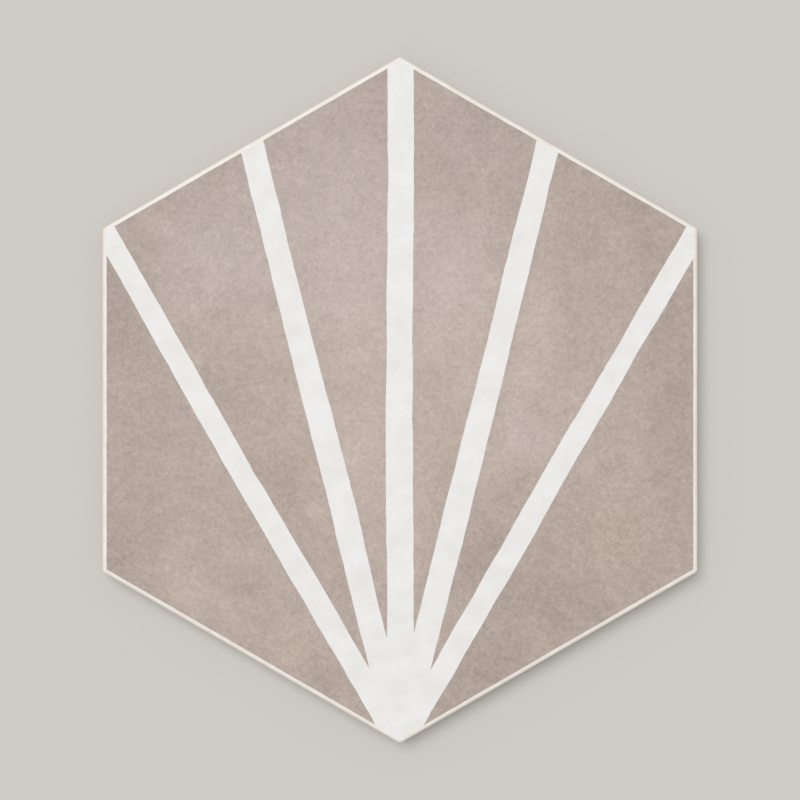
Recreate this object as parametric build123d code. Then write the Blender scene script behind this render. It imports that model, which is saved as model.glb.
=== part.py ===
"""Hexagon porcelain tile: one dry-pressed, glazed and fired piece.

Millimetres, +Z up. The tile lies on its back with the glazed face up. The origin is at the centre of the back.
Two of its corners lie on the Y axis, and two of its straight sides are square to the X axis.
"""

import os

from build123d import *

# Driving dimensions
FLAT_TO_FLAT = 198.0  # between two opposite straight sides
THICKNESS = 9.0  # from the back ribs to the glazed face
CORNER_RADIUS = 1.5  # the six upright corners, seen from above
FACE_EDGE_RADIUS = 1.2  # rounded edge all round the glazed face
BACK_EDGE_BEVEL = 1.0  # bevel all round the back, left by the die
BACK_BORDER = 8.0  # plain band between the bevel and the key grooves
GROOVE_DEPTH = 0.7  # key grooves in the back, which the adhesive fills
GROOVE_WIDTH = 6.0  # at the mouth of a groove
RIB_WIDTH = 4.0  # at the top of the rib between two grooves
GROOVE_DRAFT = 30.0  # degrees that a groove's walls lean, so that the tile leaves the die

SIDES = 6

# Places that follow from the driving dimensions
APOTHEM = FLAT_TO_FLAT / 2
KEY_APOTHEM = APOTHEM - BACK_EDGE_BEVEL - BACK_BORDER
KEY_PITCH = GROOVE_WIDTH + RIB_WIDTH
GROOVES_EACH_WAY = int((KEY_APOTHEM + RIB_WIDTH / 2) // KEY_PITCH)


def hexagon(apothem):
    """A regular hexagon about the origin, with corners on the Y axis."""
    return RegularPolygon(apothem, SIDES, major_radius=False, rotation=90)


def pressed_body():
    """The tile's block: rounded upright corners, a rounded face edge and a bevelled back edge."""
    outline = hexagon(APOTHEM)
    outline = fillet(outline.vertices(), CORNER_RADIUS)
    block = extrude(outline, THICKNESS)
    block = fillet(block.faces().sort_by(Axis.Z)[-1].edges(), FACE_EDGE_RADIUS)
    return chamfer(block.faces().sort_by(Axis.Z)[0].edges(), BACK_EDGE_BEVEL)


def key_grooves():
    """The straight grooves of the back, side by side along X, with a rib on the middle line."""
    field = hexagon(KEY_APOTHEM)
    grooves = []
    for step in range(-GROOVES_EACH_WAY, GROOVES_EACH_WAY):
        middle = (step + 0.5) * KEY_PITCH
        strip = Pos(middle, 0) * Rectangle(GROOVE_WIDTH, 2 * FLAT_TO_FLAT)
        mouth = field & strip
        grooves.append(extrude(mouth, GROOVE_DEPTH, taper=GROOVE_DRAFT))
    return grooves


def hexagon_tile():
    """The whole tile, as one solid."""
    return pressed_body() - key_grooves()


os.makedirs("parts", exist_ok=True)
export_step(hexagon_tile(), "parts/hexagon_tile.step")
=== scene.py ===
"""Looks of one hexagon porcelain tile, laid out as a Blender add-on and run as a script.

Metres, +Z up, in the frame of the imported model. The tile lies on its back with the glazed face up. Two of
its corners lie on the Y axis, and the white stripes fan out from the corner at -Y.
"""

import math

import bmesh
import bpy
from bpy.props import FloatProperty, FloatVectorProperty, PointerProperty
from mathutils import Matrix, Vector, kdtree, noise
from mathutils.geometry import delaunay_2d_cdt


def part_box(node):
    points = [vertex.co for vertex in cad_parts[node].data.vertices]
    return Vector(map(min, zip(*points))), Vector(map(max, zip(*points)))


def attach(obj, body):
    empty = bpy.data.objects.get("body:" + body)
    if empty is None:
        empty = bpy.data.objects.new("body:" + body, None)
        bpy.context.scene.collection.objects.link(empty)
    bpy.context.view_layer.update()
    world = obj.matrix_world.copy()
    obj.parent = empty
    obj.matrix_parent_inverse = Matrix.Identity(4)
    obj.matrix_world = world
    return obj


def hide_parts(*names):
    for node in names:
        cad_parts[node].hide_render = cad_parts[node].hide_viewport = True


bl_info = {
    "name": "Hexagon Porcelain Tile",
    "version": (1, 0, 0),
    "blender": (4, 5, 0),
    "location": "3D View > Sidebar > Tile",
    "description": "Builds one glazed hexagon tile with a fan of stripes, and a plain stage for it",
    "category": "Add Mesh",
}

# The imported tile, which gives the overall sizes
TILE_NODE = "hexagon_tile"
TILE_BODY = "root"
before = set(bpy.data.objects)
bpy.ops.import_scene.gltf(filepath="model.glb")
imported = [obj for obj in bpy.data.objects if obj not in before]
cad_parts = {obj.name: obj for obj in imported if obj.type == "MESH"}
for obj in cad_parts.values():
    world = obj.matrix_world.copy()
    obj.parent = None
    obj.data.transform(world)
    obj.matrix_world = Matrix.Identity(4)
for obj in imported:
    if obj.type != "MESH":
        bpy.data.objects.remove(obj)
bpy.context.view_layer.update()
TILE_LOW, TILE_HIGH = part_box(TILE_NODE)

MM = 0.001
SIDES = 6
TURN = 2 * math.pi / SIDES  # from one side to the next, seen from above
APOTHEM = (TILE_HIGH.x - TILE_LOW.x) / 2
SHARP_RADIUS = APOTHEM / math.cos(TURN / 2)  # from the centre to a corner before it is rounded
BACK_Z = TILE_LOW.z
FACE_Z = TILE_HIGH.z

# The five stripes run from the corner at -Y to the far corner, the two upper side corners and the middles
# of the two upper edges
FAN_ROOT = Vector((0.0, -SHARP_RADIUS))
FAR_CORNER = Vector((0.0, SHARP_RADIUS))
LEFT_CORNER = Vector((-APOTHEM, SHARP_RADIUS / 2))
RIGHT_CORNER = Vector((APOTHEM, SHARP_RADIUS / 2))
LEFT_MIDDLE = (FAR_CORNER + LEFT_CORNER) / 2
RIGHT_MIDDLE = (FAR_CORNER + RIGHT_CORNER) / 2
STRIPE_AIMS = (LEFT_CORNER, LEFT_MIDDLE, FAR_CORNER, RIGHT_MIDDLE, RIGHT_CORNER)

# How finely the mesh is divided
CORNER_STEPS = 6  # round one upright corner
SIDE_STEPS = 72  # along one straight side
ARRIS_STEPS = 8  # over the rounded edge of the face
UPRIGHT_STEPS = 4  # down the straight part of the side
STRIPE_STEP = 0.7 * MM  # along a stripe's edges
FACE_STEP = 3.0 * MM  # between the points of the plain face
FACE_CLEAR = 1.1 * MM  # from those points to the print's lines
GROOVE_STEPS = 6  # down the wall of a key groove
MERGE_DISTANCE = 1e-7  # points this near to each other become one
SMALLEST_EDGE = 0.02 * MM  # shorter edges, and slivers as thin as this, are taken out
SHARP_ANGLE = math.radians(40.0)  # a fold steeper than this is shown as an edge
# What is filled with triangles when flat points are joined: all between them, or only what lines enclose
FILL_ALL, FILL_ENCLOSED = range(2)

# How far a pressed, printed and fired tile strays from its drawn lines: how far, and over what length
SIDE_STRAY = 0.08 * MM
SIDE_STRAY_LENGTH = 28.0 * MM
FACE_DIP = 0.05 * MM
FACE_DIP_LENGTH = 42.0 * MM
FACE_DIP_FADE = 12.0 * MM  # in from the print's margin, over which the dips grow to their full depth
BORDER_STRAYS = ((0.09 * MM, 9.0 * MM), (0.06 * MM, 2.6 * MM))
STRIPE_STRAYS = (
    (0.32 * MM, 38.0 * MM),
    (0.23 * MM, 13.0 * MM),
    (0.14 * MM, 5.0 * MM),
    (0.06 * MM, 2.1 * MM),
)
STRIPE_DRIFT = ((0.55 * MM, 95.0 * MM),)
ROOT_LENGTH = 70.0 * MM  # from the fan's corner, over which a stripe grows to its full width
# Numbers of the lines that stray: the stripes' middle lines come first, from 0
BORDER_LINE = len(STRIPE_AIMS)
RIGHT_EDGES = 20
LEFT_EDGES = 40
LINE_STEP = 7.3  # from one line to the next in the noise that they stray by
LINE_START = 0.37  # where line 0 lies in it

# Finishes, in the order of the tile's material slots
PRINT, STRIPE, RIM, SIDE, BACK = range(5)
# Outlines of the face: its edge and the print's border come first, and the stripes follow
EDGE_OUTLINE, BORDER_OUTLINE = range(2)

# The bake map: the face takes most of the image, with the sides above it and a smaller back beside it
MAP_NAME = "OFBake"
MAP_SPAN = 292.0 * MM  # length on the tile that the image's width holds
MAP_GAP = 0.012  # between the map's parts, as a share of the image's width
SIDE_MAP_HEIGHT = math.sqrt(2)  # of a side's strip against the tile's thickness, with room to spare
BACK_MAP_SHARE = 0.43  # the back's scale, as a share of the face's
BACK_MAP_BASE = 0.25  # height on the image where the back begins
FIELD_MAP_LENGTH = 0.985  # a field of the print is drawn this much shorter,
FIELD_MAP_WIDTH = 0.94  # and this much narrower, so that it lies clear of the stripes
RIM_MAP_WIDTH = 7.0  # the narrow flat rim is drawn this much wider,
WALL_MAP_WIDTH = 2.5  # and the walls of the key grooves this much wider, so that they fill whole pixels
RIM_MAP_CLEAR = 0.2 * MM  # the rim is widened from this far inside the print's margin, to lie clear of it

# Noise in a finish runs from 0 to 1 about its middle, and seldom falls below its low. Its layers say how
# many finer ones it has and, where it isn't one half, how strong each is beside the one before. Its range
# says where a mark starts to show and where it shows in full.
NOISE_MIDDLE = 0.5
NOISE_LOW = 1 / 3

# Soft clouds of the print, with a painted sheen in the pale, cool ones at the upper left: middle in
# millimetres from the tile's centre, reach across and along in millimetres, lean to the left in degrees,
# change of brightness, and change from the cool to the warm ground
CLOUDS_AND_SHEEN = (
    # The pale, cool clouds at the upper left: partly the print, partly a painted sheen from the upper left
    ((-22, 62), (36, 62), 0, 0.10, -0.5),  # pale and cool, left of the middle stripe
    ((-58, 50), (34, 34), 20, 0.09, -0.5),  # pale and cool, at the upper left
    ((-13, 0), (18, 70), 0, 0.09, -0.2),  # pale, along the middle stripe
    ((16, 46), (26, 34), 0, 0.07, -0.4),  # pale and cool, right of the middle stripe
    ((20, 14), (20, 34), -10, 0.08, -0.2),  # its lower end
    ((46, 18), (12, 42), -6, 0.08, -0.2),  # a pale streak along the right inner stripe
    ((46, -15), (9, 20), 30, 0.08, -0.4),  # a light scuff below it
    ((26, 88), (34, 26), 0, -0.02, -0.1),  # grey, near the far corner
    ((76, 56), (34, 32), 0, -0.06, 0.2),  # dark, at the upper right
    ((90, 26), (18, 34), 0, -0.07, 0.2),  # dark, along the right side
    ((-93, 30), (20, 42), 0, -0.10, 0.2),  # dark, along the left side
    ((-52, 6), (26, 28), 0, -0.07, 0.1),  # dark, left of the middle
    ((-40, -32), (14, 34), 30, -0.09, 0.3),  # dark, between the two left stripes
    ((-82, -14), (22, 34), 0, -0.05, 0.1),  # a little dark, below the left outer stripe
    ((-91, -42), (16, 26), 0, -0.07, 0.3),  # dark, at the lower left side
    ((-64, -48), (26, 18), 0, 0.03, 0.3),  # pinkish, at the lower left
    ((-54, -64), (8, 17), -20, -0.09, 0.2),  # a dark blotch
    ((-68, -64), (12, 28), 55, 0.13, 0.1),  # a light stroke along the lower left edge
    ((-38, -84), (20, 18), 0, 0.10, 0.3),  # a light spot
    ((18, -28), (14, 28), -10, -0.08, 0.1),  # dark, low beside the middle stripe
    ((26, -50), (16, 42), -30, -0.13, 0.1),  # dark, below the scuff
    ((54, -34), (22, 28), 0, -0.09, 0.3),  # brown, below the right outer stripe
    ((48, -64), (38, 28), 0, -0.10, 0.3),  # brown, at the lower right
    ((28, -92), (24, 24), 0, -0.10, 0.2),  # dark, beside the fan's corner
    ((76, -44), (22, 36), 0, -0.01, 0.5),  # pinkish, at the lower right
    ((92, -14), (14, 38), 0, -0.05, 0.3),  # brown, along the right side
)
CLOUD_BEND = 22.0 * MM  # how far the clouds' outlines are pushed about
CLOUD_BEND_LENGTH = 26.0 * MM
CLOUD_BEND_LAYERS = {"Detail": 3.0}
BRIGHTNESS = 1.0  # of the ground between the clouds
WARMTH = 0.45  # of the ground between the clouds, from cool at 0 to warm at 1
WARMTH_PATCHES = -0.6  # change of warmth from a dark patch to a light one
# Grain of the print: size in millimetres, change of brightness, and how strong its finer layers are. The
# dots of the real print are about 0.1 mm, so the finest grain is drawn coarser than they are.
GRAINS = (
    (40.0, 0.16, 0.50),
    (12.0, 0.26, 0.55),
    (4.2, 0.26, 0.60),
    (1.7, 0.48, 0.65),
    (0.8, 0.56, 0.70),
)
GRAIN_LAYERS = {"Detail": 3.0}
WARMTH_GRAIN, SHEEN_GRAIN, RELIEF_GRAIN = 1, 2, 4  # the grains that also change these
SHEEN_RANGE = {"From Min": 0.3, "From Max": 0.7}
PRINT_ROUGHNESS = {"To Min": 0.48, "To Max": 0.62}
# Light scuffs of the worn cement: lean to the left, size across and along, and change of brightness
SCUFF_LEAN = math.radians(40.0)
SCUFF_ACROSS = 4.0 * MM
SCUFF_ALONG = 15.0 * MM
SCUFF_LIGHT = 0.11
SCUFF_LAYERS = {"Detail": 5.0, "Roughness": 0.62}
SCUFF_RANGE = {"From Min": 0.55, "From Max": 0.78}
BORDER_SHADE = 0.09  # how much darker the print is at its border
BORDER_SHADE_START = 40.0 * MM  # from the centre, where the shade begins

# Glazes
GLAZE_IOR = 1.52
WHITE_PATCH = 7.0 * MM  # between the thinner places of the white glaze
WHITE_ROUGHNESS = 0.5
CREAM_PATCH = 4.0 * MM  # between the thinner places of the base glaze
CREAM_ROUGHNESS = 0.45
THIN_LAYERS = {"Detail": 6.0, "Roughness": 0.65}
THIN_RANGE = {"From Min": 0.38, "From Max": 0.72}
SKIN = 1.3 * MM  # between the bumps of a glaze's dull skin, drawn coarser than its real 0.3 mm
SKIN_LAYERS = {"Detail": 3.0}
SKIN_RELIEF = {"Strength": 0.3, "Distance": 0.05 * MM}

# Bare fired porcelain
CLAY_IOR = 1.45
CLAY_GRAIN = 0.6 * MM  # between its coarser grains, drawn coarser than its real 0.2 mm
CLAY_LAYERS = {"Detail": 4.0, "Roughness": 0.65}
CLAY_RANGE = {"From Min": 0.42, "From Max": 0.75}
CLAY_RELIEF = {"Strength": 0.4, "Distance": 0.08 * MM}
SIDE_ROUGHNESS = 0.82
BACK_ROUGHNESS = 0.88
DRAG_LINE = 0.8 * MM  # between the die's upright lines in the side, drawn coarser than their real 0.3 mm
DRAG_STRETCH = 0.05  # a line's width, as a share of its length
DRAG_LAYERS = {"Detail": 2.0}
DRAG_RANGE = {"From Min": 0.3, "From Max": 0.7}
DRAG_SHADE = {"To Min": 0.92, "To Max": 1.05}
LAP_LEAST = 1.6 * MM  # how far the base glaze laps down over the side
LAP_SPREAD = 4.2 * MM  # and how much that changes
LAP_LENGTH = 9.0 * MM
LAP_LAYERS = {"Detail": 4.0}
LAP_EDGE = 0.12 * MM
LAP_ROUGHNESS = 0.48
WASH_STREAK = 6.0 * MM  # between the streaks of kiln wash on the back
WASH_STRETCH = 0.15  # a streak's width, as a share of its length
WASH_LAYERS = {"Detail": 6.0, "Roughness": 0.65}
WASH_RANGE = {"From Min": 0.4, "From Max": 0.66}
# Heights of the grooves and of the ribs for the wash, and how much its streaks cover in each
WASH_HEIGHTS = {"From Min": BACK_Z + 0.3 * MM, "From Max": BACK_Z + 0.05 * MM}
WASH_COVER = {"To Min": 0.12, "To Max": 0.9}

FLOOR_ROUGHNESS = 0.9
WHITE_LIGHT = (1.0, 1.0, 1.0, 1.0)


def linear(hex_colour):
    """An sRGB hex colour such as #B8ABA2 as linear red, green, blue and alpha."""
    shares = [int(hex_colour[place : place + 2], 16) / 255 for place in (1, 3, 5)]
    return [c / 12.92 if c <= 0.04045 else ((c + 0.055) / 1.055) ** 2.4 for c in shares] + [1.0]


def length_property(name, description, millimetres):
    """A length that the user can set, in metres inside Blender."""
    return FloatProperty(
        name=name, description=description, default=millimetres * MM, min=0.0, precision=5, unit="LENGTH"
    )


def colour_property(name, description, hex_colour):
    """A colour that the user can set."""
    return FloatVectorProperty(
        name=name,
        description=description,
        default=linear(hex_colour),
        size=4,
        min=0.0,
        max=1.0,
        subtype="COLOR",
    )


class HexagonTileSizes(bpy.types.PropertyGroup):
    """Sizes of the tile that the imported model's box does not give"""

    corner_radius: length_property("Corner Radius", "Rounding of the six upright corners", 1.5)
    arris_radius: length_property("Arris Radius", "Rounded edge all round the glazed face", 1.2)
    back_bevel: length_property("Back Bevel", "Bevel all round the back", 1.0)
    back_border: length_property("Back Border", "Plain band between the bevel and the key grooves", 8.0)
    groove_depth: length_property("Groove Depth", "Depth of the key grooves in the back", 0.7)
    groove_width: length_property("Groove Width", "Width of a key groove at its mouth", 6.0)
    rib_width: length_property("Rib Width", "Width of the rib between two key grooves", 4.0)
    groove_draft: FloatProperty(
        name="Groove Draft",
        description="Lean of a key groove's walls",
        default=math.radians(30.0),
        min=0.0,
        max=math.radians(60.0),
        subtype="ANGLE",
    )
    groove_lip: length_property("Groove Lip", "Rounding at the mouth and the root of a key groove", 0.2)
    print_margin: length_property("Print Margin", "Pale border between the side and the print", 1.45)
    middle_stripe: length_property("Middle Stripe", "Width of the stripe to the far corner", 8.9)
    inner_stripe: length_property("Inner Stripes", "Width of the stripes to the edges' middles", 8.3)
    outer_stripe: length_property("Outer Stripes", "Width of the stripes to the side corners", 7.4)
    root_narrowing: length_property("Root Narrowing", "How much narrower a stripe starts", 0.6)
    stripe_taper: FloatProperty(
        name="Stripe Taper",
        description="How much narrower a stripe is at its far end, as a share of its width",
        default=0.09,
        min=0.0,
        max=0.5,
        subtype="FACTOR",
    )


class HexagonTileColours(bpy.types.PropertyGroup):
    """Colours of the tile's glaze, print and body"""

    cool_ground: colour_property("Cool Ground", "The print's greyer taupe", "#B9ABA3")
    warm_ground: colour_property("Warm Ground", "The print's browner taupe", "#BCAA9E")
    stripe: colour_property("Stripe", "White glaze of the stripes", "#F0EEEC")
    stripe_shade: colour_property("Stripe Shade", "Thinner places in the white glaze", "#E7E4E0")
    rim: colour_property("Rim", "Cream base glaze that shows round the print", "#F3EEE6")
    rim_shade: colour_property("Rim Shade", "Thinner places in the base glaze", "#EAE2D7")
    body: colour_property("Body", "Fired porcelain of the sides and the back", "#DAD0C2")
    body_shade: colour_property("Body Shade", "Coarser and darker grains of the porcelain", "#C3B7A6")
    kiln_wash: colour_property("Kiln Wash", "White powder on the ribs of the back", "#EDEAE4")


class TileStageSettings(bpy.types.PropertyGroup):
    """The floor, the light and the camera that show the tile"""

    floor: colour_property("Floor", "Plain pale floor", "#D1CEC9")
    floor_size: length_property("Floor Size", "Width and depth of the floor", 12000.0)
    sky: FloatProperty(
        name="Sky", description="Strength of the even light from all round", default=0.58, min=0.0
    )
    key: FloatProperty(
        name="Key", description="Strength of the soft light from the upper left", default=1.34, min=0.0
    )
    key_spread: FloatProperty(
        name="Key Spread",
        description="How wide the soft light looks from the tile",
        default=math.radians(38.0),
        min=0.0,
        max=math.pi,
        subtype="ANGLE",
    )
    key_aim: FloatVectorProperty(
        name="Key Aim",
        description="Direction in which the soft light shines",
        default=(0.27, -0.3, -0.93),
        subtype="DIRECTION",
    )
    lens: FloatProperty(
        name="Lens",
        description="Focal length in millimetres",
        default=100.0,
        min=1.0,
        subtype="DISTANCE_CAMERA",
    )
    filled: FloatProperty(
        name="Filled",
        description="Share of the picture's height that the tile fills",
        default=0.86,
        min=0.1,
        max=1.0,
        subtype="FACTOR",
    )


# Lines of the tile, seen from above


def polar(radius, angle):
    """The point at that distance from the origin, in that direction."""
    return Vector((radius * math.cos(angle), radius * math.sin(angle)))


def eased(share):
    """A share from 0 to 1, with a slow start and a slow end."""
    return (1 - math.cos(math.pi * share)) / 2


def slow_wave(point, length):
    """How high a smooth wave stands at a point, from 0 to about 1. It changes over that length."""
    return max((1 + noise.noise(point.to_3d() / length)) / 2, 0.0)


def strays(amounts, run, line):
    """How far a line strays at that run along it. Each line has a number of its own."""
    total = 0.0
    for far, length in amounts:
        total += far * noise.noise(Vector((run / length, LINE_STEP * line + LINE_START, far / MM)))
    return total


def side_path(sizes):
    """Points round the upright side, counterclockwise, each with the direction that it faces."""
    arm = (APOTHEM - sizes.corner_radius) / math.cos(TURN / 2)
    path = []
    for corner in range(SIDES):
        pivot = polar(arm, (corner + 0.5) * TURN)
        next_pivot = polar(arm, (corner + 1.5) * TURN)
        for step in range(CORNER_STEPS + 1):
            facing = polar(1.0, (corner + step / CORNER_STEPS) * TURN)
            path.append((pivot + sizes.corner_radius * facing, facing))
        run_start = pivot + sizes.corner_radius * facing
        run_end = next_pivot + sizes.corner_radius * facing
        for step in range(1, SIDE_STEPS):
            path.append((run_start.lerp(run_end, step / SIDE_STEPS), facing))
    return path


def ring(path, inset):
    """The closed line at that distance inside the side, with the faint waves of a pressed edge."""
    line = []
    for point, facing in path:
        line.append(point - facing * (inset + SIDE_STRAY * slow_wave(point, SIDE_STRAY_LENGTH)))
    return line


def print_border(path, sizes):
    """The line round the printed colour, a little ragged."""
    drawn = ring(path, sizes.print_margin)
    line = []
    run = 0.0
    for before, point, (_, facing) in zip(drawn[-1:] + drawn, drawn, path):
        run += (point - before).length
        line.append(point - facing * strays(BORDER_STRAYS, run, BORDER_LINE))
    return line


def stripe_outline(aim, width, sizes, number):
    """One stripe, as a long band from the fan's corner through its aim, counterclockwise."""
    along = (aim - FAN_ROOT).normalized()
    across = Vector((along.y, -along.x))
    reach = (aim - FAN_ROOT).length + width
    steps = round(reach / STRIPE_STEP)
    right_edge = []
    left_edge = []
    for step in range(steps + 1):
        run = reach * step / steps
        middle = FAN_ROOT + along * run + across * strays(STRIPE_DRIFT, run, number)
        narrower = sizes.root_narrowing * (1 - eased(min(run / ROOT_LENGTH, 1.0)))
        half = (width * (1 + sizes.stripe_taper * (0.5 - step / steps)) - narrower) / 2
        right_edge.append(middle + across * (half + strays(STRIPE_STRAYS, run, number + RIGHT_EDGES)))
        left_edge.append(middle - across * (half + strays(STRIPE_STRAYS, run, number + LEFT_EDGES)))
    return right_edge + left_edge[::-1]


def clipped(outline, apothem):
    """What of the outline lies inside a hexagon of that apothem."""
    for side in range(SIDES):
        facing = polar(1.0, side * TURN)
        kept = []
        for here, after in zip(outline, outline[1:] + outline[:1]):
            here_past = here.dot(facing) - apothem
            after_past = after.dot(facing) - apothem
            if here_past <= 0:
                kept.append(here)
            if here_past * after_past < 0:
                kept.append(here.lerp(after, here_past / (here_past - after_past)))
        outline = kept
    return outline


def fan_outlines(sizes):
    """The five stripes, cut off between the print's border and the rounded edge."""
    half_fan = [sizes.outer_stripe, sizes.inner_stripe]
    widths = half_fan + [sizes.middle_stripe] + half_fan[::-1]
    inside = APOTHEM - (sizes.arris_radius + sizes.print_margin) / 2 - SIDE_STRAY / 2
    outlines = []
    for number, (aim, width) in enumerate(zip(STRIPE_AIMS, widths)):
        outlines.append(clipped(stripe_outline(aim, width, sizes, number), inside))
    return outlines


def edge_depth(point):
    """How far a point lies inside the nearest of the six sides."""
    x = abs(point.x)
    return APOTHEM - max(x, x * math.cos(TURN) + abs(point.y) * math.sin(TURN))


def plain_face_points(lines, margin):
    """Points of an even net over the face that lie clear of the print's lines."""
    drawn = [point for line in lines for point in line]
    near = kdtree.KDTree(len(drawn))
    for index, point in enumerate(drawn):
        near.insert(point.to_3d(), index)
    near.balance()
    row_step = FACE_STEP * math.sin(TURN)
    rows = int(SHARP_RADIUS / row_step)
    columns = int(APOTHEM / FACE_STEP) + 1
    points = []
    for row in range(-rows, rows + 1):
        for column in range(-columns, columns + 1):
            point = Vector(((column + 0.5 * (row % 2)) * FACE_STEP, row * row_step))
            if edge_depth(point) > margin and near.find(point.to_3d())[2] > FACE_CLEAR:
                points.append(point)
    return points


# Places on the bake map


def face_place(point):
    """Place on the bake map of a point of the face."""
    return (MAP_GAP + (point.x + APOTHEM) / MAP_SPAN, MAP_GAP + (point.y + SHARP_RADIUS) / MAP_SPAN)


def rim_place(point, sizes):
    """Place on the bake map of a point of the flat rim, drawn wider and moved out past the print."""
    outward = sizes.print_margin + RIM_MAP_CLEAR - edge_depth(point)
    return face_place(point + point.normalized() * outward * (RIM_MAP_WIDTH - 1))


def field_place(point, middle):
    """Place on the bake map of a point of the print, drawn in towards the middle of its field."""
    along = (middle - FAN_ROOT).normalized()
    across = Vector((along.y, -along.x))
    out = point - middle
    drawn = along * out.dot(along) * FIELD_MAP_LENGTH + across * out.dot(across) * FIELD_MAP_WIDTH
    return face_place(middle + drawn)


def side_places(index, per_side, upper_drop, lower_drop):
    """Places on the bake map of one face of the side. The six sides lie in two columns of strips."""
    side, step = divmod(index, per_side)
    row, column = divmod(side, 2)
    strip_length = 2 * APOTHEM * math.tan(TURN / 2) / MAP_SPAN
    strip_height = (FACE_Z - BACK_Z) * SIDE_MAP_HEIGHT / MAP_SPAN
    left = MAP_GAP + column * (strip_length + MAP_GAP)
    top = 1.0 - MAP_GAP - row * strip_height
    near = left + strip_length * step / per_side
    far = left + strip_length * (step + 1) / per_side
    high = top - upper_drop / MAP_SPAN
    low = top - lower_drop / MAP_SPAN
    return [(near, low), (far, low), (far, high), (near, high)]


def back_place(point):
    """Place on the bake map of a point of the back."""
    left = 2 * MAP_GAP + 2 * APOTHEM / MAP_SPAN
    share = BACK_MAP_SHARE / MAP_SPAN
    return (left + (point.x + APOTHEM) * share, BACK_MAP_BASE + (point.y + SHARP_RADIUS) * share)


# The tile's mesh


class MeshDraft:
    """A mesh while it is put together: points, faces, and each face's finish and places on the map."""

    def __init__(self):
        self.points = []
        self.faces = []
        self.finishes = []
        self.places = []

    def add_points(self, points):
        """Adds points and returns their numbers."""
        first = len(self.points)
        self.points.extend(points)
        return list(range(first, len(self.points)))

    def add_face(self, corners, finish, places):
        """Adds one face, whose corners run counterclockwise seen from outside."""
        self.faces.append(corners)
        self.finishes.append(finish)
        self.places.extend(places)

    def mesh(self, name):
        """The finished mesh, with smooth faces, sharp edges only where it folds, and no slivers."""
        mesh = bpy.data.meshes.new(name)
        mesh.from_pydata(self.points, [], self.faces)
        mesh.polygons.foreach_set("material_index", self.finishes)
        bake_map = mesh.uv_layers.new(name=MAP_NAME)
        bake_map.uv.foreach_set("vector", [share for place in self.places for share in place])
        cleaned = bmesh.new()
        cleaned.from_mesh(mesh)
        bmesh.ops.dissolve_degenerate(cleaned, dist=SMALLEST_EDGE, edges=cleaned.edges[:])
        cleaned.to_mesh(mesh)
        cleaned.free()
        mesh.shade_smooth()
        mesh.set_sharp_from_angle(angle=SHARP_ANGLE)
        return mesh


def face_point(point, sizes):
    """A point of the face, with the slow dips of a fired tile, which fade towards its edge."""
    fade = min(max((edge_depth(point) - sizes.print_margin) / FACE_DIP_FADE, 0.0), 1.0)
    return (point.x, point.y, FACE_Z - FACE_DIP * fade * slow_wave(point, FACE_DIP_LENGTH))


def face_finish(inside):
    """Finish of a triangle of the face that lies inside these outlines."""
    if BORDER_OUTLINE not in inside:
        return RIM
    return STRIPE if max(inside) > BORDER_OUTLINE else PRINT


def cut_face(lines, sizes):
    """Cuts the face along its lines. Returns its points, the numbers of the drawn points that they
    come from, and its triangles, each as its corners, its finish and its middle."""
    flat_points = []
    outlines = []
    for line in lines:
        outlines.append(list(range(len(flat_points), len(flat_points) + len(line))))
        flat_points += line
    flat_points += plain_face_points(lines, sizes.print_margin + FACE_CLEAR)
    cut = delaunay_2d_cdt(flat_points, [], outlines, FILL_ALL, MERGE_DISTANCE)
    found, _, faces, origins, _, owners = cut
    triangles = []
    for corners, inside in zip(faces, owners):
        if EDGE_OUTLINE in inside:
            middle = sum((found[corner] for corner in corners), Vector((0.0, 0.0))) / len(corners)
            triangles.append((corners, face_finish(inside), middle))
    return found, origins, triangles


def fan_angle(point):
    """Direction of a point from the fan's corner, 0 along +Y and growing to the right."""
    return math.atan2(point.x - FAN_ROOT.x, point.y - FAN_ROOT.y)


def field_number(point):
    """Which field of the print a point lies in, counted from the left between the stripes."""
    return sum(fan_angle(point) > fan_angle(aim) for aim in STRIPE_AIMS)


def field_middles(triangles):
    """The middle of each field of the print."""
    members = {}
    for _, finish, middle in triangles:
        if finish == PRINT:
            members.setdefault(field_number(middle), []).append(middle)
    return {field: sum(points, Vector((0.0, 0.0))) / len(points) for field, points in members.items()}


def add_glazed_face(draft, path, sizes):
    """Adds the face, cut along the print's border and the stripes. Returns the points of its edge."""
    edge = ring(path, sizes.arris_radius)
    lines = [edge, print_border(path, sizes), *fan_outlines(sizes)]
    found, origins, triangles = cut_face(lines, sizes)
    numbers = draft.add_points([face_point(point, sizes) for point in found])
    edge_numbers = {}
    for number, sources in zip(numbers, origins):
        for source in sources:
            if source < len(edge):
                edge_numbers[source] = number
                draft.points[number] = (*edge[source], FACE_Z)

    middles = field_middles(triangles)
    for corners, finish, middle in triangles:
        outline = [found[corner] for corner in corners]
        if finish == PRINT:
            field_middle = middles[field_number(middle)]
            places = [field_place(point, field_middle) for point in outline]
        elif finish == RIM:
            places = [rim_place(point, sizes) for point in outline]
        else:
            places = [face_place(point) for point in outline]
        draft.add_face([numbers[corner] for corner in corners], finish, places)
    return [edge_numbers[index] for index in range(len(edge))]


def side_profile(sizes):
    """The side from the face's edge to the back's edge: distance inside the side, height and finish."""
    profile = []
    for step in range(1, ARRIS_STEPS + 1):
        angle = math.pi / 2 * step / ARRIS_STEPS
        inset = sizes.arris_radius * (1 - math.sin(angle))
        profile.append((inset, FACE_Z - sizes.arris_radius * (1 - math.cos(angle)), RIM))
    upper = FACE_Z - sizes.arris_radius
    lower = BACK_Z + sizes.back_bevel
    for step in range(1, UPRIGHT_STEPS + 1):
        profile.append((0.0, upper + (lower - upper) * step / UPRIGHT_STEPS, SIDE))
    profile.append((sizes.back_bevel, BACK_Z, SIDE))
    return profile


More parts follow.
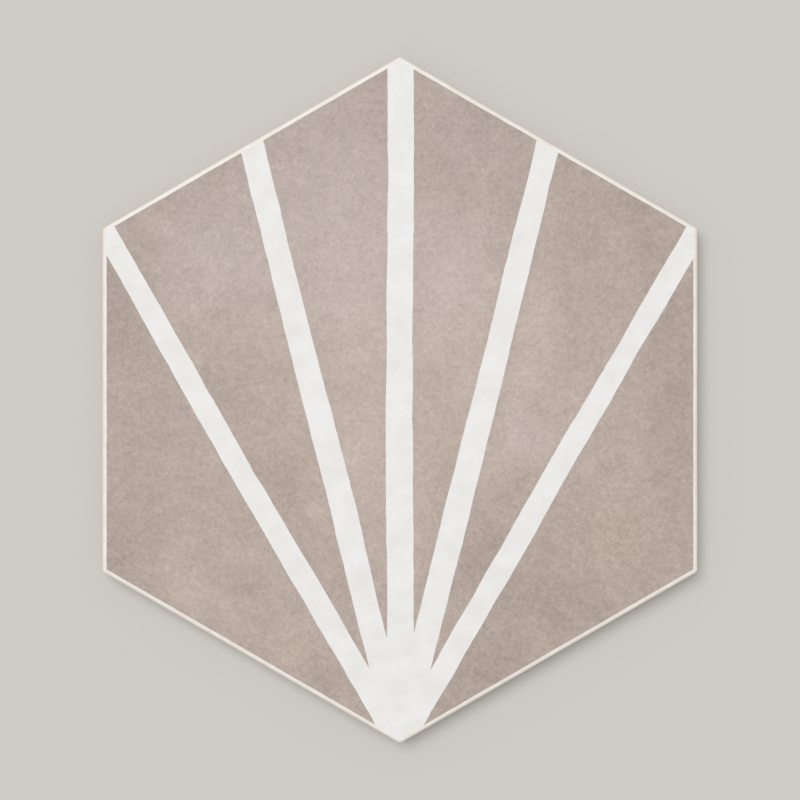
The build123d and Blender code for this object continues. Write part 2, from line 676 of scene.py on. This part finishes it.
def add_side(draft, path, sizes, edge_numbers):
    """Adds the rounded edge, the upright side and the bevel. Returns the points of the back's edge."""
    upper = edge_numbers
    upper_inset = sizes.arris_radius
    upper_height = FACE_Z
    upper_drop = 0.0
    for inset, height, finish in side_profile(sizes):
        lower = draft.add_points([(*point, height) for point in ring(path, inset)])
        lower_drop = upper_drop + math.hypot(inset - upper_inset, height - upper_height)
        for index in range(len(path)):
            after = (index + 1) % len(path)
            corners = [lower[index], lower[after], upper[after], upper[index]]
            places = side_places(index, len(path) // SIDES, upper_drop, lower_drop)
            draft.add_face(corners, finish, places)
        upper = lower
        upper_inset = inset
        upper_height = height
        upper_drop = lower_drop
    return upper


def groove_outline(middle, inset, sizes):
    """One key groove at that distance inside its mouth, counterclockwise."""
    apothem = APOTHEM - sizes.back_bevel - sizes.back_border - inset
    left = middle - sizes.groove_width / 2 + inset
    right = middle + sizes.groove_width / 2 - inset
    left_end = (2 * apothem - abs(left)) * math.tan(TURN / 2)
    right_end = (2 * apothem - abs(right)) * math.tan(TURN / 2)
    return [
        Vector((left, -left_end)),
        Vector((right, -right_end)),
        Vector((right, right_end)),
        Vector((left, left_end)),
    ]


def groove_rings(sizes):
    """Rings down the walls of the key grooves, which lie side by side along X with a rib in the middle.
    Each ring is its outline, its wider outline on the bake map and its depth."""
    pitch = sizes.groove_width + sizes.rib_width
    field = APOTHEM - sizes.back_bevel - sizes.back_border
    each_way = int((field + sizes.rib_width / 2) // pitch)
    wall_inset = sizes.groove_depth * math.tan(sizes.groove_draft)
    rings = []
    for number in range(-each_way, each_way):
        middle = (number + 0.5) * pitch
        for step in range(GROOVE_STEPS + 1):
            share = step / GROOVE_STEPS
            inset = (wall_inset + 2 * sizes.groove_lip) * share - sizes.groove_lip
            outline = groove_outline(middle, inset, sizes)
            on_map = groove_outline(middle, inset * WALL_MAP_WIDTH, sizes)
            rings.append((outline, on_map, sizes.groove_depth * eased(share)))
    return rings


def add_keyed_back(draft, path, sizes, edge_numbers):
    """Adds the back, cut along the rings of its key grooves."""
    edge = ring(path, sizes.back_bevel)
    flat_points = []
    map_points = []
    depths = []
    lines = []
    for outline, on_map, depth in [(edge, edge, 0.0), *groove_rings(sizes)]:
        first = len(flat_points)
        count = len(outline)
        flat_points += outline
        map_points += on_map
        depths += [depth] * count
        lines += [(first + corner, first + (corner + 1) % count) for corner in range(count)]
    cut = delaunay_2d_cdt(flat_points, lines, [], FILL_ENCLOSED, MERGE_DISTANCE)
    found, _, faces, origins, _, _ = cut
    numbers = []
    for point, sources in zip(found, origins):
        if sources[0] < len(edge):
            numbers.append(edge_numbers[sources[0]])
        else:
            numbers += draft.add_points([(point.x, point.y, BACK_Z + depths[sources[0]])])
    for corners in faces:
        turned = corners[::-1]
        places = [back_place(map_points[origins[corner][0]]) for corner in turned]
        draft.add_face([numbers[corner] for corner in turned], BACK, places)


def tile_mesh(sizes):
    """The whole tile as one closed mesh."""
    draft = MeshDraft()
    path = side_path(sizes)
    face_edge = add_glazed_face(draft, path, sizes)
    back_edge = add_side(draft, path, sizes, face_edge)
    add_keyed_back(draft, path, sizes, back_edge)
    return draft.mesh("hexagon_tile_glazed")


# Finishes, whose patterns lie by the place on the tile in metres


def add_node(tree, kind, inputs=(), **settings):
    """Adds a node with these settings. An input goes by its name, or by its number where names repeat. A
    node given as an input is linked by its first output in use."""
    node = tree.nodes.new(kind)
    for name, value in settings.items():
        setattr(node, name, value)
    for key, value in dict(inputs).items():
        if isinstance(key, int):
            socket = node.inputs[key]
        else:
            socket = next(socket for socket in node.inputs if socket.name == key and socket.enabled)
        if isinstance(value, bpy.types.Node):
            value = next(output for output in value.outputs if output.enabled)
        if isinstance(value, bpy.types.NodeSocket):
            tree.links.new(value, socket)
        else:
            socket.default_value = value
    return node


def new_material(name):
    """A new material with no nodes yet. Returns it and its node tree."""
    material = bpy.data.materials.new(name)
    material.use_nodes = True
    material.node_tree.nodes.clear()
    return material, material.node_tree


def add_clouds_and_sheen(tree, place):
    """Adds the print's soft clouds; the pale, cool ones at the upper left are partly a painted sheen.
    Returns its brightness and its warmth.
    """
    wander = {"Vector": place, "Scale": 1 / CLOUD_BEND_LENGTH, **CLOUD_BEND_LAYERS}
    wander_colour = add_node(tree, "ShaderNodeTexNoise", wander).outputs["Color"]
    push = {0: wander_colour, 1: (CLOUD_BEND,) * 3, 2: (-CLOUD_BEND * NOISE_MIDDLE,) * 3}
    pushed = add_node(tree, "ShaderNodeVectorMath", push, operation="MULTIPLY_ADD")
    bent = add_node(tree, "ShaderNodeVectorMath", {0: place, 1: pushed}, operation="ADD")
    brightness = BRIGHTNESS
    warmth = WARMTH
    for (x, y), (across, along), lean, lighter, warmer in CLOUDS_AND_SHEEN:
        cloud = {
            "Vector": bent,
            "Location": (x * MM, y * MM, FACE_Z),
            "Rotation": (0.0, 0.0, math.radians(lean)),
            "Scale": (across * MM, along * MM, 1.0),
        }
        from_cloud = add_node(tree, "ShaderNodeMapping", cloud, vector_type="TEXTURE")
        far = add_node(tree, "ShaderNodeVectorMath", {0: from_cloud}, operation="LENGTH")
        fade = {"Value": far, "From Min": 1.0, "From Max": 0.0}
        cover = add_node(tree, "ShaderNodeMapRange", fade, interpolation_type="SMOOTHSTEP")
        light = {0: cover, 1: lighter, 2: brightness}
        brightness = add_node(tree, "ShaderNodeMath", light, operation="MULTIPLY_ADD")
        warm = {0: cover, 1: warmer, 2: warmth}
        warmth = add_node(tree, "ShaderNodeMath", warm, operation="MULTIPLY_ADD")
    return brightness, warmth


def add_grains(tree, place, brightness):
    """Adds the print's grain, from broad patches to specks. Returns the brightness and the grains."""
    grains = []
    for size, change, finer in GRAINS:
        speckle = {"Vector": place, "Scale": 1 / (size * MM), "Roughness": finer, **GRAIN_LAYERS}
        grain = add_node(tree, "ShaderNodeTexNoise", speckle)
        swing = add_node(tree, "ShaderNodeMath", {0: grain, 1: NOISE_MIDDLE}, operation="SUBTRACT")
        light = {0: swing, 1: change, 2: brightness}
        brightness = add_node(tree, "ShaderNodeMath", light, operation="MULTIPLY_ADD")
        grains.append(grain)
    return brightness, grains


def add_scuffs(tree, place, brightness):
    """Adds the light scuffs, which all lean one way, as strokes of a trowel would."""
    stroke = {
        "Vector": place,
        "Rotation": (0.0, 0.0, SCUFF_LEAN),
        "Scale": (SCUFF_ACROSS, SCUFF_ALONG, 1.0),
    }
    strokes = add_node(tree, "ShaderNodeMapping", stroke, vector_type="TEXTURE")
    wear = add_node(tree, "ShaderNodeTexNoise", {"Vector": strokes, "Scale": 1.0, **SCUFF_LAYERS})
    scuffs = add_node(tree, "ShaderNodeMapRange", {"Value": wear, **SCUFF_RANGE, "To Max": SCUFF_LIGHT})
    return add_node(tree, "ShaderNodeMath", {0: brightness, 1: scuffs}, operation="ADD")


def add_border_shade(tree, place, brightness):
    """Darkens the print towards its border, by the distance from the centre as a hexagon measures it."""
    mirrored = add_node(tree, "ShaderNodeVectorMath", {0: place}, operation="ABSOLUTE")
    parts = add_node(tree, "ShaderNodeSeparateXYZ", {"Vector": mirrored})
    x = parts.outputs["X"]
    y = parts.outputs["Y"]
    y_share = add_node(tree, "ShaderNodeMath", {0: y, 1: math.sin(TURN)}, operation="MULTIPLY")
    slant = {0: x, 1: math.cos(TURN), 2: y_share}
    slanted = add_node(tree, "ShaderNodeMath", slant, operation="MULTIPLY_ADD")
    away = add_node(tree, "ShaderNodeMath", {0: x, 1: slanted}, operation="MAXIMUM")
    fall = {"Value": away, "From Min": BORDER_SHADE_START, "From Max": APOTHEM, "To Max": -BORDER_SHADE}
    shade = add_node(tree, "ShaderNodeMapRange", fall)
    return add_node(tree, "ShaderNodeMath", {0: brightness, 1: shade}, operation="ADD")


def cement_print(colours):
    """Inkjet print of worn cement in a matt glaze: soft clouds, light scuffs, fine grain, dull sheen. Its
    pale, cool clouds at the upper left are partly a painted sheen.
    """
    material, tree = new_material("cement_print_in_matt_glaze")
    place = add_node(tree, "ShaderNodeTexCoord").outputs["Object"]
    brightness, warmth = add_clouds_and_sheen(tree, place)
    brightness, grains = add_grains(tree, place, brightness)
    brightness = add_scuffs(tree, place, brightness)
    brightness = add_border_shade(tree, place, brightness)

    middle = {0: grains[WARMTH_GRAIN], 1: NOISE_MIDDLE}
    patches = add_node(tree, "ShaderNodeMath", middle, operation="SUBTRACT")
    warm = {0: patches, 1: WARMTH_PATCHES, 2: warmth}
    warmth = add_node(tree, "ShaderNodeMath", warm, operation="MULTIPLY_ADD", use_clamp=True)
    grounds = {"Factor": warmth, "A": colours.cool_ground, "B": colours.warm_ground}
    ground = add_node(tree, "ShaderNodeMix", grounds, data_type="RGBA")
    colour = add_node(tree, "ShaderNodeVectorMath", {0: ground, "Scale": brightness}, operation="SCALE")
    sheen = {"Value": grains[SHEEN_GRAIN], **SHEEN_RANGE, **PRINT_ROUGHNESS}
    dull = add_node(tree, "ShaderNodeMapRange", sheen)
    relief = add_node(tree, "ShaderNodeBump", {**SKIN_RELIEF, "Height": grains[RELIEF_GRAIN]})
    fired = {"Base Color": colour, "Roughness": dull, "IOR": GLAZE_IOR, "Normal": relief}
    surface = add_node(tree, "ShaderNodeBsdfPrincipled", fired)
    add_node(tree, "ShaderNodeOutputMaterial", {"Surface": surface})
    return material


def plain_glaze(name, thick, thin, patch, roughness):
    """A plain opaque glaze: nearly even, a shade darker where it lies thin, with a fine dull skin."""
    material, tree = new_material(name)
    place = add_node(tree, "ShaderNodeTexCoord").outputs["Object"]
    cloudy = add_node(tree, "ShaderNodeTexNoise", {"Vector": place, "Scale": 1 / patch, **THIN_LAYERS})
    thinness = add_node(tree, "ShaderNodeMapRange", {"Value": cloudy, **THIN_RANGE})
    coats = {"Factor": thinness, "A": thick, "B": thin}
    colour = add_node(tree, "ShaderNodeMix", coats, data_type="RGBA")
    skin = add_node(tree, "ShaderNodeTexNoise", {"Vector": place, "Scale": 1 / SKIN, **SKIN_LAYERS})
    relief = add_node(tree, "ShaderNodeBump", {**SKIN_RELIEF, "Height": skin})
    fired = {"Base Color": colour, "Roughness": roughness, "IOR": GLAZE_IOR, "Normal": relief}
    surface = add_node(tree, "ShaderNodeBsdfPrincipled", fired)
    add_node(tree, "ShaderNodeOutputMaterial", {"Surface": surface})
    return material


def white_matt_glaze(colours):
    """Matt white glaze, printed thickly through a screen: a bright, soft white, hardly clouded."""
    return plain_glaze(
        "white_matt_glaze", colours.stripe, colours.stripe_shade, WHITE_PATCH, WHITE_ROUGHNESS
    )


def cream_base_glaze(colours):
    """Base glaze, sprayed on before the print: a warm off-white, a little shinier than the print."""
    return plain_glaze("cream_base_glaze", colours.rim, colours.rim_shade, CREAM_PATCH, CREAM_ROUGHNESS)


def add_clay(tree, place, colours):
    """Adds bare fired porcelain. Returns its colour and its sandy grain."""
    sand = {"Vector": place, "Scale": 1 / CLAY_GRAIN, **CLAY_LAYERS}
    grain = add_node(tree, "ShaderNodeTexNoise", sand)
    share = add_node(tree, "ShaderNodeMapRange", {"Value": grain, **CLAY_RANGE})
    clays = {"Factor": share, "A": colours.body, "B": colours.body_shade}
    return add_node(tree, "ShaderNodeMix", clays, data_type="RGBA"), grain


def add_drag_lines(tree, place, clay):
    """Adds the upright lines that the die drags into the side. Returns the clay's colour with them."""
    stretch = {0: place, 1: (1.0, 1.0, DRAG_STRETCH)}
    upright = add_node(tree, "ShaderNodeVectorMath", stretch, operation="MULTIPLY")
    scored = {"Vector": upright, "Scale": 1 / DRAG_LINE, **DRAG_LAYERS}
    lines = add_node(tree, "ShaderNodeTexNoise", scored)
    shade = add_node(tree, "ShaderNodeMapRange", {"Value": lines, **DRAG_RANGE, **DRAG_SHADE})
    return add_node(tree, "ShaderNodeVectorMath", {0: clay, "Scale": shade}, operation="SCALE")


def add_glaze_lap(tree, place):
    """Adds the uneven lap of base glaze over the side's upper part. Returns how much it covers."""
    level = add_node(tree, "ShaderNodeVectorMath", {0: place, 1: (1.0, 1.0, 0.0)}, operation="MULTIPLY")
    wavy = {"Vector": level, "Scale": 1 / LAP_LENGTH, **LAP_LAYERS}
    waves = add_node(tree, "ShaderNodeTexNoise", wavy)
    run_down = {0: waves, 1: LAP_SPREAD, 2: LAP_LEAST - LAP_SPREAD * NOISE_LOW}
    lap = add_node(tree, "ShaderNodeMath", run_down, operation="MULTIPLY_ADD")
    height = add_node(tree, "ShaderNodeSeparateXYZ", {"Vector": place}).outputs["Z"]
    drop = add_node(tree, "ShaderNodeMath", {0: FACE_Z, 1: height}, operation="SUBTRACT")
    inside = add_node(tree, "ShaderNodeMath", {0: lap, 1: drop}, operation="SUBTRACT")
    edge = {"Value": inside, "From Min": -LAP_EDGE, "From Max": LAP_EDGE}
    return add_node(tree, "ShaderNodeMapRange", edge)


def porcelain_side(colours):
    """Bare fired porcelain with the die's upright drag lines. Base glaze laps over its upper part."""
    material, tree = new_material("fired_porcelain_side")
    place = add_node(tree, "ShaderNodeTexCoord").outputs["Object"]
    plain_clay, grain = add_clay(tree, place, colours)
    clay = add_drag_lines(tree, place, plain_clay)
    lap = add_glaze_lap(tree, place)
    coats = {"Factor": lap, "A": clay, "B": colours.rim}
    colour = add_node(tree, "ShaderNodeMix", coats, data_type="RGBA")
    sheen = {"Value": lap, "To Min": SIDE_ROUGHNESS, "To Max": LAP_ROUGHNESS}
    dull = add_node(tree, "ShaderNodeMapRange", sheen)
    height = add_node(tree, "ShaderNodeMath", {0: lap, 1: grain}, operation="ADD")
    relief = add_node(tree, "ShaderNodeBump", {**CLAY_RELIEF, "Height": height})
    fired = {"Base Color": colour, "Roughness": dull, "IOR": CLAY_IOR, "Normal": relief}
    surface = add_node(tree, "ShaderNodeBsdfPrincipled", fired)
    add_node(tree, "ShaderNodeOutputMaterial", {"Surface": surface})
    return material


def add_kiln_wash(tree, place):
    """Adds the kiln wash that rollers rubbed over the ribs in streaks. Returns how much it covers."""
    stretch = {0: place, 1: (1.0, WASH_STRETCH, 1.0)}
    rubbed = add_node(tree, "ShaderNodeVectorMath", stretch, operation="MULTIPLY")
    smeared = {"Vector": rubbed, "Scale": 1 / WASH_STREAK, **WASH_LAYERS}
    smears = add_node(tree, "ShaderNodeTexNoise", smeared)
    streaks = add_node(tree, "ShaderNodeMapRange", {"Value": smears, **WASH_RANGE})
    height = add_node(tree, "ShaderNodeSeparateXYZ", {"Vector": place}).outputs["Z"]
    ribs = add_node(tree, "ShaderNodeMapRange", {"Value": height, **WASH_HEIGHTS, **WASH_COVER})
    return add_node(tree, "ShaderNodeMath", {0: ribs, 1: streaks}, operation="MULTIPLY")


def porcelain_back(colours):
    """Bare fired porcelain, sandy and dull, with streaks of white kiln wash on the ribs."""
    material, tree = new_material("fired_porcelain_back")
    place = add_node(tree, "ShaderNodeTexCoord").outputs["Object"]
    clay, grain = add_clay(tree, place, colours)
    wash = add_kiln_wash(tree, place)
    washes = {"Factor": wash, "A": clay, "B": colours.kiln_wash}
    colour = add_node(tree, "ShaderNodeMix", washes, data_type="RGBA")
    relief = add_node(tree, "ShaderNodeBump", {**CLAY_RELIEF, "Height": grain})
    fired = {"Base Color": colour, "Roughness": BACK_ROUGHNESS, "IOR": CLAY_IOR, "Normal": relief}
    surface = add_node(tree, "ShaderNodeBsdfPrincipled", fired)
    add_node(tree, "ShaderNodeOutputMaterial", {"Surface": surface})
    return material


def matt_floor_paint(settings):
    """Matt paint, rolled on: one even pale grey without a sheen."""
    material, tree = new_material("matt_floor_paint")
    painted = {"Base Color": settings.floor, "Roughness": FLOOR_ROUGHNESS}
    surface = add_node(tree, "ShaderNodeBsdfPrincipled", painted)
    add_node(tree, "ShaderNodeOutputMaterial", {"Surface": surface})
    return material


# The stage


def add_floor(scene, settings):
    """Adds the pale floor that the tile lies on."""
    half = settings.floor_size / 2
    corners = [(x * half, y * half, BACK_Z) for x, y in ((-1, -1), (1, -1), (1, 1), (-1, 1))]
    mesh = bpy.data.meshes.new("floor")
    mesh.from_pydata(corners, [], [(0, 1, 2, 3)])
    mesh.materials.append(matt_floor_paint(settings))
    floor = bpy.data.objects.new("floor", mesh)
    scene.collection.objects.link(floor)


def add_light(scene, settings):
    """Adds the even light from all round and the soft light from the upper left."""
    scene.world = bpy.data.worlds.new("even_sky")
    scene.world.use_nodes = True
    tree = scene.world.node_tree
    tree.nodes.clear()
    sky = add_node(tree, "ShaderNodeBackground", {"Color": WHITE_LIGHT, "Strength": settings.sky})
    add_node(tree, "ShaderNodeOutputWorld", {"Surface": sky})

    lamp = bpy.data.lights.new("key", "SUN")
    lamp.energy = settings.key
    lamp.angle = settings.key_spread
    key = bpy.data.objects.new("key", lamp)
    key.rotation_mode = "QUATERNION"
    key.rotation_quaternion = Vector(settings.key_aim).to_track_quat("-Z", "Y")
    scene.collection.objects.link(key)


def add_camera(scene, settings):
    """Adds the camera straight above the tile, as far away as the tile's share of the picture asks."""
    eye = bpy.data.cameras.new("camera")
    eye.lens = settings.lens
    distance = 2 * SHARP_RADIUS / settings.filled * eye.lens / eye.sensor_width
    camera = bpy.data.objects.new("camera", eye)
    camera.location = (0.0, 0.0, FACE_Z + distance)
    scene.collection.objects.link(camera)
    scene.camera = camera


# Operators, panel and registration


class MESH_OT_hexagon_tile_add(bpy.types.Operator):
    """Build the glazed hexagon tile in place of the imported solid"""

    bl_idname = "mesh.hexagon_tile_add"
    bl_label = "Add Hexagon Tile"

    def execute(self, context):
        sizes = context.scene.hexagon_tile_sizes
        colours = context.scene.hexagon_tile_colours
        if sizes.print_margin <= sizes.arris_radius:
            raise ValueError("The print margin has to be wider than the arris radius.")
        tile = bpy.data.objects.new("hexagon_tile_glazed", tile_mesh(sizes))
        context.scene.collection.objects.link(tile)
        finishes = {
            PRINT: cement_print(colours),
            STRIPE: white_matt_glaze(colours),
            RIM: cream_base_glaze(colours),
            SIDE: porcelain_side(colours),
            BACK: porcelain_back(colours),
        }
        for slot in sorted(finishes):
            tile.data.materials.append(finishes[slot])
        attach(tile, TILE_BODY)
        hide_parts(TILE_NODE)
        return {"FINISHED"}


class SCENE_OT_tile_stage_add(bpy.types.Operator):
    """Add the pale floor, the soft light and the camera above the tile"""

    bl_idname = "scene.tile_stage_add"
    bl_label = "Add Tile Stage"

    def execute(self, context):
        settings = context.scene.tile_stage_settings
        add_floor(context.scene, settings)
        add_light(context.scene, settings)
        add_camera(context.scene, settings)
        context.scene.view_settings.view_transform = "Standard"
        return {"FINISHED"}


class VIEW3D_PT_hexagon_tile(bpy.types.Panel):
    """Sizes, colours and stage of the tile"""

    bl_label = "Hexagon Tile"
    bl_space_type = "VIEW_3D"
    bl_region_type = "UI"
    bl_category = "Tile"

    def draw(self, context):
        for group_name, group_type in GROUPS.items():
            box = self.layout.box()
            group = getattr(context.scene, group_name)
            for name in group_type.__annotations__:
                box.prop(group, name)
        for operator in OPERATORS:
            self.layout.operator(operator.bl_idname)


GROUPS = {
    "hexagon_tile_sizes": HexagonTileSizes,
    "hexagon_tile_colours": HexagonTileColours,
    "tile_stage_settings": TileStageSettings,
}
OPERATORS = (MESH_OT_hexagon_tile_add, SCENE_OT_tile_stage_add)
CLASSES = (*GROUPS.values(), *OPERATORS, VIEW3D_PT_hexagon_tile)


def register():
    """Registers the classes and gives the scene its settings."""
    for kind in CLASSES:
        bpy.utils.register_class(kind)
    for group_name, group_type in GROUPS.items():
        setattr(bpy.types.Scene, group_name, PointerProperty(type=group_type))


def unregister():
    """Takes the settings and the classes away again."""
    for group_name in GROUPS:
        delattr(bpy.types.Scene, group_name)
    for kind in reversed(CLASSES):
        bpy.utils.unregister_class(kind)


def main():
    register()
    bpy.ops.mesh.hexagon_tile_add()
    bpy.ops.scene.tile_stage_add()


if __name__ == "__main__":
    main()
